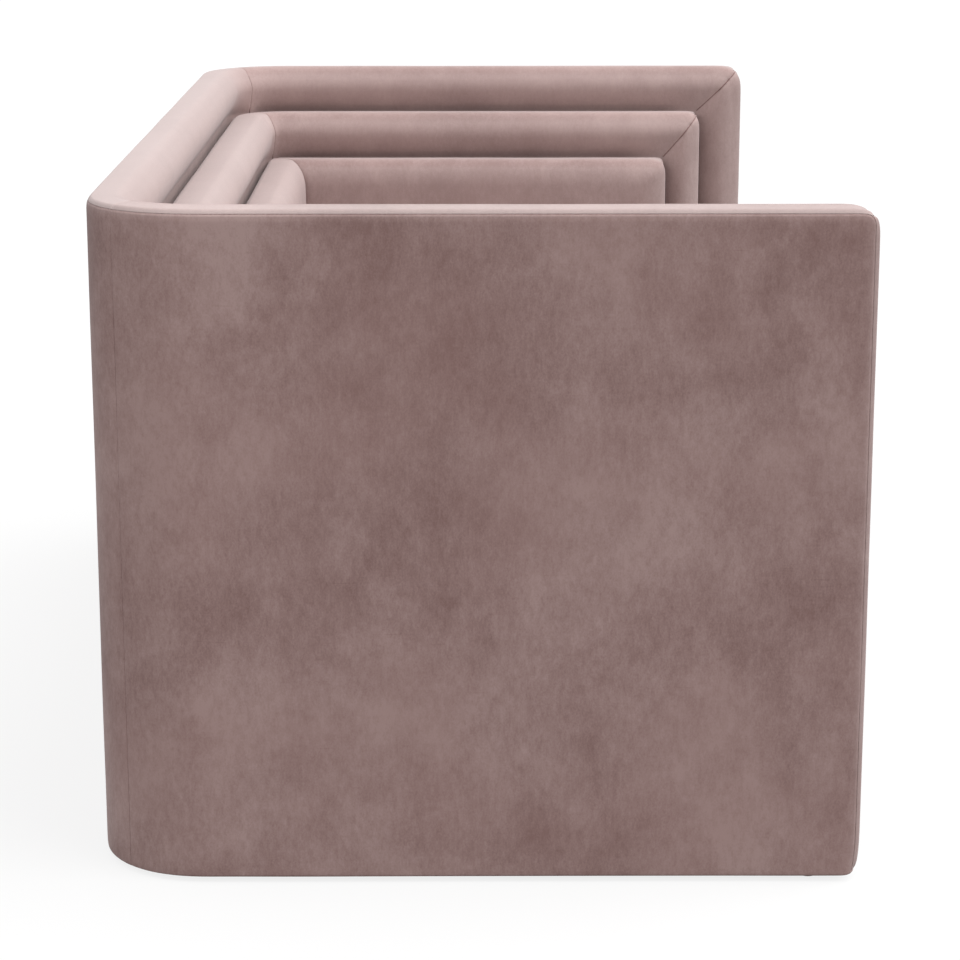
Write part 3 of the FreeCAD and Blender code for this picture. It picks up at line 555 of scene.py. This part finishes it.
def depth_lines(tier):
    """Stations from the top edge to the bottom, close together in the roll, seam and crease."""
    lines = turn_lines(tier.edge_tall, EDGE_TURNS) + turn_lines(tier.roll_tall, ROLL_TURNS)
    if tier is OUTER:
        lines += [SEAM_DEPTH + step * SEAM_STEP for step in (-3, -2, -1, 0, 1, 2, 3, 5, 8)]
    if tier.crease is None:
        lower = FACE_LINES_END
        lines += even_lines(tier.roll_tall, lower, FACE_STEP)
    else:
        lower = tier.crease + PAST_CREASE
        lines += even_lines(tier.roll_tall, tier.crease, ROLL_STEP)
        lines += [tier.crease + step for step in (0.003, 0.008, 0.016, PAST_CREASE)]
    lines += even_lines(lower, tier.height - FACE_STEP, COARSE_STEP)
    lines += [tier.height - line for line in turn_lines(HEM, 2)]
    return tidy_lines(lines)


MITRE_LINES = [0, 0.0012, 0.0028, 0.005, 0.008, 0.012, 0.017, 0.024, 0.033, 0.044, 0.058, 0.074,
               0.092, 0.112, 0.132, MITRE_RUN]


def arm_lines(tier):
    """Stations from an arm's front to its mitre."""
    turn_end = (tier.crease or PLAIN_NOSE) + PAST_CREASE
    lines = [line * tier.front_ratio for line in depth_lines(tier) if line <= turn_end + TINY]
    lines += even_lines(lines[-1], tier.length - MITRE_RUN, COARSE_STEP)
    lines += [tier.length - line for line in MITRE_LINES]
    return tidy_lines(lines)


def back_lines(tier):
    ends = [tier.half - line for line in MITRE_LINES]
    middle = even_lines(-tier.half + MITRE_RUN, tier.half - MITRE_RUN, COARSE_STEP)
    return tidy_lines(ends + middle + [-line for line in ends])


print("stations of the outer arm:", len(across_lines(OUTER)), "across,", len(arm_lines(OUTER)),
      "along,", len(depth_lines(OUTER)), "down")

# %% [markdown]
# ## The padded shells
# Nine pieces: a left arm, a back and a right arm on each tier, met in mitres as the sewn covers
# are. Each point is placed by its measures, then moved by a slow noise of under a millimetre,
# because hand-pulled cloth is never dead flat. The left arms are mirrored from the right.

# %% Arms and backs
PLAIN_PAINTED_LIGHT = 0.3
PLAIN_CREASE = 0.06
SIDES = (("left", -1), ("right", 1))


def cloth_object(name, bm, body="frame"):
    """A finished piece of upholstery: smooth, subdivided once, riding on its body."""
    mesh = bpy.data.meshes.new(name)
    bm.to_mesh(mesh)
    bm.free()
    mesh.shade_smooth()
    mesh.materials.append(VELVET)
    # Pieces without painted light of their own take an even share of the pale tone that the shells use as
    # painted light.
    if "nap" not in mesh.attributes:
        nap = mesh.attributes.new("nap", "FLOAT", "POINT")
        nap.data.foreach_set("value", [PLAIN_PAINTED_LIGHT] * len(mesh.vertices))
    piece = bpy.data.objects.new(name, mesh)
    scene.collection.objects.link(piece)
    finer = piece.modifiers.new("finer", "SUBSURF")
    finer.levels = 1
    finer.render_levels = 1
    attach(piece, body)
    return piece


def soften(bm, amount, scale, seed):
    """A slow unevenness along the normals."""
    bm.normal_update()
    moves = []
    for v in bm.verts:
        wave = noise.noise(v.co * scale + Vector((seed, 2 * seed, -seed)))
        moves.append((v, v.normal * wave * amount))
    for v, move in moves:
        v.co += move


def seam_shade(tier, across, depth, gap):
    """How dark the cloth is in the rear mitre and in the outer tier's seam."""
    on_outside = across < TINY
    shade = (0.05 if on_outside else 0.4) * bell(gap, 0.001)
    if tier is OUTER and on_outside:
        shade = max(shade, bell(depth - SEAM_DEPTH, 0.0006))
    return shade


def outside_painted_light(depth):
    """An outside carries no painted light except a painted highlight on the lip just under the seam."""
    return 0.3 * bell(depth - SEAM_DEPTH, 0.007)


def back_painted_light(tier, across, depth, gap):
    """A back's painted light: a highlight palest on top and fading down its roll, with painted shade at
    the outer roll's ends.
    """
    if across < TINY and depth > SEAM_DEPTH:
        return outside_painted_light(depth)
    lower = min(depth / (tier.crease or PLAIN_CREASE), 1)
    # Painted shade: the outer roll's face darkens towards its ends, where it turns away from the front
    # light.
    end = 0.35 * bell(gap, 0.06) if tier is OUTER and across > 0.5 * THICK else 0.0
    return tier.tone * (1 - 0.55 * lower) * (1 - end)


def arm_painted_light(across, depth, reach, crease):
    """The same painted light for an arm: its highlight is palest on the top and less on the front and
    inner roll.
    """
    near = min(depth, reach)
    if across < TINY and near > SEAM_DEPTH:
        return outside_painted_light(near)
    inwards = max(0.0, min(across / THICK, 1))
    painted_pale = 0.46
    if depth <= reach:
        # Painted highlight on the top, dimmed where the roll turns from the light, with painted shade
        # towards the crease.
        painted_pale = 0.9 - 0.28 * inwards - 0.4 * bell(inwards - 0.72, 0.24)
    return painted_pale - 0.1 * min(near / crease, 1)


def shell_piece(tier, part, side):
    """An arm on side -1 or +1, or the back."""
    bm = bmesh.new()
    is_back = part == "back"
    along = back_lines(tier) if is_back else arm_lines(tier)
    cut_block(bm, across_lines(tier), along, depth_lines(tier))
    seam = bm.verts.layers.float.new("seam")
    calm = bm.verts.layers.float.new("calm")
    # Each point stores its painted light: highlight on tops and shade into creases. Calm follows it.
    nap = bm.verts.layers.float.new("nap")
    for v in bm.verts:
        across, run, depth = v.co
        if is_back:
            gap = tier.half - abs(run)
            near = depth
            v[nap] = back_painted_light(tier, across, depth, gap)
            v[calm] = v[nap]
            v.co = back_point(tier, across, run, depth)
        else:
            gap = tier.length - run
            reach = run / tier.front_ratio
            near = min(depth, reach)
            v[nap] = arm_painted_light(across, depth, reach, tier.crease or PLAIN_CREASE)
            v[calm] = v[nap] * 0.4
            v.co = arm_point(tier, across, run, depth)
            v.co.x *= side
        v[seam] = seam_shade(tier, across, near, gap)
    bmesh.ops.recalc_face_normals(bm, faces=bm.faces)
    soften(bm, 0.0004, 7.0, tier.top * 10 + side)
    piece = cloth_object(f"{tier.name}_{part}", bm)
    nodes = [f"{tier.name}_{part}_pad"]
    if is_back:
        nodes.append(f"{tier.name}_cover")
    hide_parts(*nodes)
    return piece


shells = []
for tier in TIERS:
    for part, side in (SIDES[0], ("back", 0), SIDES[1]):
        shells.append(shell_piece(tier, part, side))
print("shells:", {p.name: len(p.data.polygons) for p in shells})

# %% [markdown]
# ## Mitre seams
# Where a roll turns down at an arm's front it is cut and sewn on the diagonal. The block is
# already drawn in there; a fine thread, bent along the same measures, makes the join readable
# from a distance.

# %% Seam threads


def sewn_line(name, points, radius, material, body="frame", sides=2, closed=False):
    """A thread or a covered cord along a line of points, made a mesh piece."""
    data = bpy.data.curves.new(name, "CURVE")
    data.dimensions = "3D"
    data.bevel_depth = radius
    data.bevel_resolution = sides
    data.use_fill_caps = not closed
    line = data.splines.new("POLY")
    line.points.add(len(points) - 1)
    line.use_cyclic_u = closed
    for dot, place in zip(line.points, points):
        dot.co = (*place, 1)
    draft = bpy.data.objects.new(name + "_draft", data)
    scene.collection.objects.link(draft)
    mesh = bpy.data.meshes.new_from_object(draft.evaluated_get(bpy.context.evaluated_depsgraph_get()))
    mesh.name = name
    bpy.data.objects.remove(draft)
    bpy.data.curves.remove(data)
    mesh.shade_smooth()
    mesh.materials.clear()
    mesh.materials.append(material)
    piece = bpy.data.objects.new(name, mesh)
    scene.collection.objects.link(piece)
    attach(piece, body)
    return piece


THREAD = woven("seam_thread", rgb(138, 107, 103), rgb(112, 86, 82), 300)
THREAD_RADIUS = 0.0007
THREAD_LIFT = Vector((-0.0008, 0, 0))
THREAD_START = 0.003
DOWN_STEPS = 40
OVER_STEPS = 24
threads = []
for tier in (OUTER, MIDDLE):
    down = [tier.crease * step / DOWN_STEPS for step in range(1, DOWN_STEPS + 1)]
    over = [THREAD_START + (THICK - THREAD_START) * step / OVER_STEPS for step in range(OVER_STEPS + 1)]
    route = [arm_point(tier, across, 0, 0) for across in over]
    route += [arm_point(tier, THICK, d * tier.front_ratio, d) + THREAD_LIFT for d in down]
    for part, side in SIDES:
        points = [Vector((p.x * side, p.y, p.z)) for p in route]
        threads.append(sewn_line(f"{tier.name}_{part}_mitre", points, THREAD_RADIUS, THREAD))
print("mitre threads:", [t.name for t in threads])

# %% [markdown]
# ## The front border
# Below the cushion a plain upholstered strip runs between the inner arms. It is a block with a
# rounded top edge and a face that swells a little between its ends.

# %% Border
BORDER_EDGE = 0.01
BORDER_SWELL = 0.003


def front_border():
    low, high = (Vector(c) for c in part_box("front_border"))
    bm = bmesh.new()
    size = high - low
    edge = turn_lines(BORDER_EDGE, 4)
    deep_lines = tidy_lines(edge + even_lines(BORDER_EDGE, size.y, 0.004))
    down_lines = tidy_lines(edge + even_lines(BORDER_EDGE, size.z, 0.012))
    cut_block(bm, even_lines(0, size.x, 0.02), deep_lines, down_lines)
    for v in bm.verts:
        x, deep, down = v.co
        swell = 0.0
        if deep < TINY and 0 < x < size.x:
            middle = math.sin(math.pi * x / size.x) ** 0.35
            swell = BORDER_SWELL * middle * math.sin(math.pi * min(down / size.z, 1))
        deep, down = rounded(deep, down, BORDER_EDGE)
        v.co = Vector((low.x + x, low.y + deep - swell, high.z - down))
    bmesh.ops.recalc_face_normals(bm, faces=bm.faces)
    soften(bm, 0.0006, 8.0, 4)
    piece = cloth_object("front_border_strip", bm)
    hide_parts("front_border")
    return piece


border = front_border()
print("border:", len(border.data.polygons), "faces")

# %% [markdown]
# ## The bench cushion
# A loose cushion is a foam block in a sewn box: top and bottom panels, and a strip between
# them. Inflating a mesh with the Cloth modifier's pressure, with the sewn edges held, gives the
# crown and the slight pull at the corners that a drawn curve misses. The mesh starts a little
# small, may move only so far, and stays flat below, where it rests on the deck.

# %% Cushion
CUSHION_FRAMES = 20
CUSHION_CORNER = 0.03
CUSHION_STEP = 0.0125
CUSHION_CAP = 0.018
SIDE_ROOM = 0.005
REAR_ROOM = 0.002
CROWN_ROOM = 0.013
ZIP_MARGIN = 0.004
FRONT_BULGE = 0.004


def swollen(piece, pinned, cap, frames):
    """Inflates a piece with Cloth, holds the pinned points, and caps each point's way."""
    rest = [v.co.copy() for v in piece.data.vertices]
    group = piece.vertex_groups.new(name="held")
    group.add(pinned, 1.0, "REPLACE")
    finer = piece.modifiers["finer"]
    finer.show_viewport = False
    cloth = piece.modifiers.new("swell", "CLOTH")
    settings = cloth.settings
    settings.use_pressure = True
    settings.uniform_pressure_force = 4
    settings.quality = 4
    settings.mass = 0.3
    settings.tension_stiffness = 20
    settings.compression_stiffness = 20
    settings.shear_stiffness = 8
    settings.bending_stiffness = 1.5
    settings.vertex_group_mass = "held"
    settings.effector_weights.gravity = 0
    cloth.point_cache.frame_end = frames
    for step in range(1, frames + 1):
        scene.frame_set(step)
    ready = piece.evaluated_get(bpy.context.evaluated_depsgraph_get())
    moved = [v.co.copy() for v in ready.data.vertices]
    piece.modifiers.remove(cloth)
    piece.vertex_groups.remove(group)
    finer.show_viewport = True
    scene.frame_set(1)
    for v, old, new in zip(piece.data.vertices, rest, moved):
        way = new - old
        if way.length > cap:
            way *= cap / way.length
        v.co = old + way


def bench_cushion():
    """The cushion before its piping, and the points of its two sewn edges in order."""
    low, high = (Vector(c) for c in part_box("seat_cushion_cover"))
    zip_low, zip_high = (Vector(c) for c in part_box("zip_tape"))
    start = low + Vector((SIDE_ROOM, SIDE_ROOM, 0))
    size = high - Vector((SIDE_ROOM, REAR_ROOM, CROWN_ROOM)) - start
    corner = turn_lines(CUSHION_CORNER, 4)
    flat = [even_lines(CUSHION_CORNER, span - CUSHION_CORNER, CUSHION_STEP) for span in size.xy]
    ends = [corner + lines + [span - c for c in corner] for lines, span in zip(flat, size.xy)]
    heights = [0, 0.005] + even_lines(0.012, size.z - 0.012, CUSHION_STEP) + [size.z - 0.005, size.z]
    bm = bmesh.new()
    cut_block(bm, tidy_lines(ends[0]), tidy_lines(ends[1]), tidy_lines(heights))
    bm.verts.index_update()
    held = []
    edges = {"lower": [], "upper": []}
    for v in bm.verts:
        x, y, z = v.co
        at_side = min(x, size.x - x, y, size.y - y) < TINY
        if at_side and min(z, size.z - z) < TINY:
            edges["lower" if z < TINY else "upper"].append(v.index)
            held.append(v.index)
        elif z < TINY:
            held.append(v.index)
        u, w = rounded(min(x, size.x - x), min(y, size.y - y), CUSHION_CORNER)
        x = u if x < size.x / 2 else size.x - u
        y = w if y < size.y / 2 else size.y - w
        v.co = start + Vector((x, y, z))
        on_rear = v.co.y > start.y + size.y - 1e-5
        if on_rear and zip_low.z - ZIP_MARGIN < v.co.z < zip_high.z + ZIP_MARGIN:
            held.append(v.index)
    bmesh.ops.recalc_face_normals(bm, faces=bm.faces)
    piece = cloth_object("bench_cushion", bm, body="seat_cushion")
    swollen(piece, held, CUSHION_CAP, CUSHION_FRAMES)
    for v in piece.data.vertices:
        v.co.x = min(max(v.co.x, low.x), high.x)
        v.co.y = min(max(v.co.y, low.y - FRONT_BULGE), zip_low.y)
        v.co.z = max(v.co.z, low.z)
    middle = (low + high) / 2
    loops = {}
    for name, indices in edges.items():
        points = [piece.data.vertices[i].co.copy() for i in indices]
        loops[name] = sorted(points, key=lambda c: math.atan2(c.y - middle.y, c.x - middle.x))
    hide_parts("seat_cushion_cover", "seat_cushion_foam")
    return piece, loops


cushion, cushion_edges = bench_cushion()
heights = [v.co.z for v in cushion.data.vertices]
print("cushion:", len(cushion.data.polygons), "faces, top at", round(max(heights), 4), "m")

# %% [markdown]
# ## Piping on the cushion
# A thin covered cord is sewn into both edges of the cushion's box. It follows the edge points
# after the cushion has swollen, so it sits in the seam wherever the cloth has gone.

# %% Piping
PIPING_RADIUS = 0.0032
PIPING_SHIFT = {"lower": 0.0022, "upper": -0.0008}
for name, points in cushion_edges.items():
    shifted = [c + Vector((0, 0, PIPING_SHIFT[name])) for c in points]
    cord = sewn_line(f"cushion_{name}_piping", shifted, PIPING_RADIUS, VELVET, "seat_cushion", 3, True)
    print("piping:", cord.name, len(cord.data.polygons), "faces")

# %% [markdown]
# ## The deck under the cushion
# Lifting the cushion shows the deck: plain cloth stretched over a thin pad, with a band of the
# velvet sewn along its front so that no plain cloth shows past the cushion.

# %% Deck
BAND = 0.09
DECK_EDGE = 0.005
DECK_STEP = 0.03


def seat_deck():
    low, high = (Vector(c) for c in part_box("deck_pad"))
    size = high - low
    bm = bmesh.new()
    rim = turn_lines(DECK_EDGE, 3)
    xs = rim + even_lines(DECK_EDGE, size.x - DECK_EDGE, DECK_STEP) + [size.x - c for c in rim]
    ys = rim + even_lines(DECK_EDGE, BAND - 0.01, 0.02)
    ys += [BAND + step for step in (-0.006, -0.002, 0, 0.002, 0.006)]
    ys += even_lines(BAND + DECK_STEP, size.y, DECK_STEP) + [size.y - c for c in rim]
    cut_block(bm, tidy_lines(xs), tidy_lines(ys), tidy_lines(rim + [size.z]))
    for v in bm.verts:
        x, y, down = v.co
        on_top = down < TINY
        side, down = rounded(min(x, size.x - x, y, size.y - y), down, DECK_EDGE)
        dip = 0.0016 * bell(y - BAND, 0.0025) if on_top else 0.0
        u = max(min(x, size.x - x), side)
        x = u if x < size.x / 2 else size.x - u
        v.co = Vector((low.x + x, low.y + y, high.z - down - dip))
    bmesh.ops.recalc_face_normals(bm, faces=bm.faces)
    piece = cloth_object("seat_deck", bm)
    piece.data.materials.append(DECK_CLOTH)
    for face in piece.data.polygons:
        if face.center.y > low.y + BAND:
            face.material_index = 1
    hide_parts("deck_pad")
    return piece


DECK_CLOTH = woven("deck_cloth", rgb(164, 140, 136), rgb(128, 106, 103), 210)
deck = seat_deck()
print("deck:", len(deck.data.polygons), "faces, velvet band and plain cloth")

# %% [markdown]
# ## The floor and the light
# The photograph's ground is white. The floor is a pale plane that shows mostly as plain white to
# the camera and keeps a part of its own shading, so the sofa's shadow still lies on it.
# One broad soft sun above the front does most of the work, a weak one lights the near side, and
# the sky fills in the rest.

# %% Floor, sky and lamps
SEEN_BY = ("Camera", "Glossy", "Transmission")
BOUNCE_TONE = (0.14, 0.14, 0.14, 1)
SEEN_TONE = (0.8, 0.8, 0.8, 1)
GLOW_SHARE = 0.82
SKY_STRENGTH = 0.82


def white_floor():
    bm = bmesh.new()
    bmesh.ops.create_grid(bm, x_segments=2, y_segments=2, size=30)
    mesh = bpy.data.meshes.new("studio_floor")
    bm.to_mesh(mesh)
    bm.free()
    floor = bpy.data.objects.new("studio_floor", mesh)
    scene.collection.objects.link(floor)
    made = Finish("white_floor")
    rays = [made.node("ShaderNodeLightPath", output=f"Is {ray} Ray") for ray in SEEN_BY]
    seen = rays[0] + rays[1] + rays[2]
    tone = made.mix(seen, BOUNCE_TONE, SEEN_TONE)
    paint = made.node("ShaderNodeBsdfDiffuse", None, {"Color": tone})
    glow = made.node("ShaderNodeEmission", None, {"Color": (1, 1, 1, 1), "Strength": 1.0})
    both = made.node("ShaderNodeMixShader", None, {0: seen * GLOW_SHARE, 1: paint, 2: glow})
    mesh.materials.append(made.close(both))
    return floor


def studio_sky(strength):
    world = bpy.data.worlds.new("studio_sky")
    scene.world = world
    world.use_nodes = True
    tree = world.node_tree
    tree.nodes.clear()
    path = tree.nodes.new("ShaderNodeLightPath")
    seen = tree.nodes.new("ShaderNodeBackground")
    lit = tree.nodes.new("ShaderNodeBackground")
    lit.inputs["Strength"].default_value = strength
    lit.inputs["Color"].default_value = (1, 1, 1, 1)
    seen.inputs["Color"].default_value = (1, 1, 1, 1)
    both = tree.nodes.new("ShaderNodeMixShader")
    end = tree.nodes.new("ShaderNodeOutputWorld")
    tree.links.new(path.outputs["Is Camera Ray"], both.inputs[0])
    tree.links.new(lit.outputs[0], both.inputs[1])
    tree.links.new(seen.outputs[0], both.inputs[2])
    tree.links.new(both.outputs[0], end.inputs["Surface"])


def soft_sun(name, lean, spread, strength):
    """A sun as wide as a studio softbox; it lights the floor evenly to the horizon."""
    data = bpy.data.lights.new(name, "SUN")
    data.energy = strength
    data.angle = math.radians(spread)
    lamp = bpy.data.objects.new(name, data)
    scene.collection.objects.link(lamp)
    lamp.rotation_euler = [math.radians(turn) for turn in lean]
    return lamp


white_floor()
studio_sky(SKY_STRENGTH)
soft_sun("key", (36, 0, 0), 60, 2.8)
soft_sun("fill", (0, -65, -42), 40, 0.38)
print("light: a soft sky, a broad sun above the front and a weak one on the near side")
